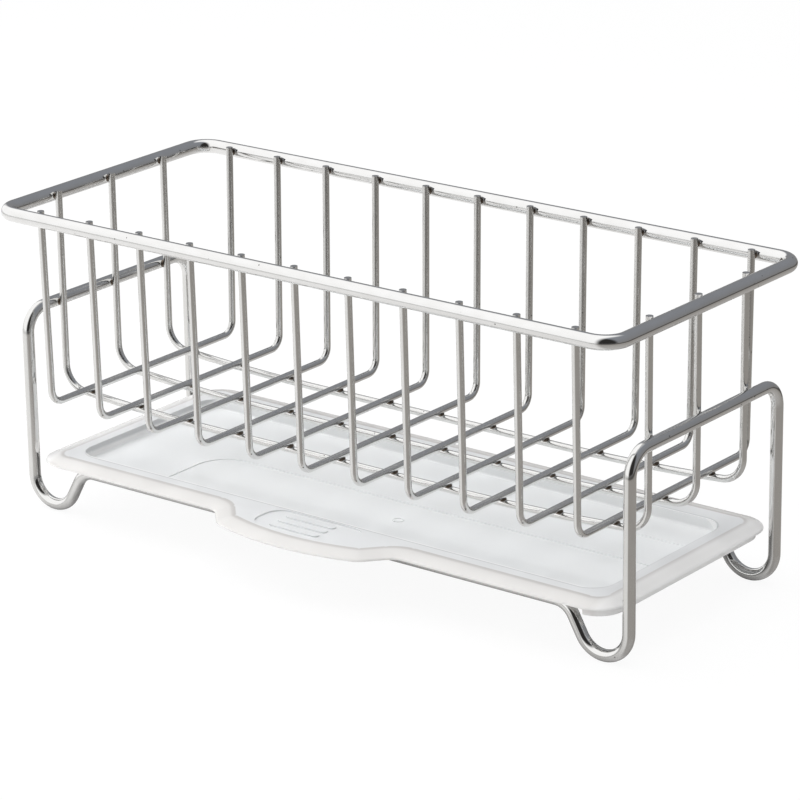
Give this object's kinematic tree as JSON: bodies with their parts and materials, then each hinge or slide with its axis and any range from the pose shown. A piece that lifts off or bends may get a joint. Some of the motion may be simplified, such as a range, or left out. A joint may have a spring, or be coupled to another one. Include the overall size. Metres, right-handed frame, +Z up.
{
  "type": "kitchen sink caddy",
  "caption": "Long low welded wire basket with a thick rod rim, carried on a bent rod leg loop with bowed feet, over a loose translucent drip tray with a pull tab.",
  "frame": {"origin": "on the counter plane, midway between the four feet, under the centre of the basket", "axes": "+X along the length to the right, -Y to the front where the tray's tab is, +Z up"},
  "size_m": [0.3148, 0.1442, 0.1367],
  "materials": {
    "rim_steel": "polished stainless rod, 6 mm",
    "leg_steel": "polished stainless rod, 5 mm",
    "wire_steel": "polished stainless wire, 3 mm",
    "weld_steel": "electropolished weld metal, heat tinted",
    "tray_plastic": "natural translucent polypropylene, satin moulded"
  },
  "bodies": {
    "frame": {"rim_wire": "rim_steel", "leg_loop": "leg_steel", "cross_wire_01": "wire_steel", "cross_wire_02": "wire_steel", "cross_wire_03": "wire_steel", "cross_wire_04": "wire_steel", "cross_wire_05": "wire_steel", "cross_wire_06": "wire_steel", "cross_wire_07": "wire_steel", "cross_wire_08": "wire_steel", "cross_wire_09": "wire_steel", "cross_wire_10": "wire_steel", "cross_wire_11": "wire_steel", "long_wire_front": "wire_steel", "long_wire_middle": "wire_steel", "long_wire_rear": "wire_steel", "rim_welds": "weld_steel", "floor_welds": "weld_steel", "leg_welds": "weld_steel"},
    "tray": {"drip_tray": "tray_plastic"}
  },
  "joints": [
    {"name": "tray_lift", "type": "slide", "parent": "frame", "child": "tray", "axis": [0, 0, 1], "range_m": [0, 0.017]}
  ]
}
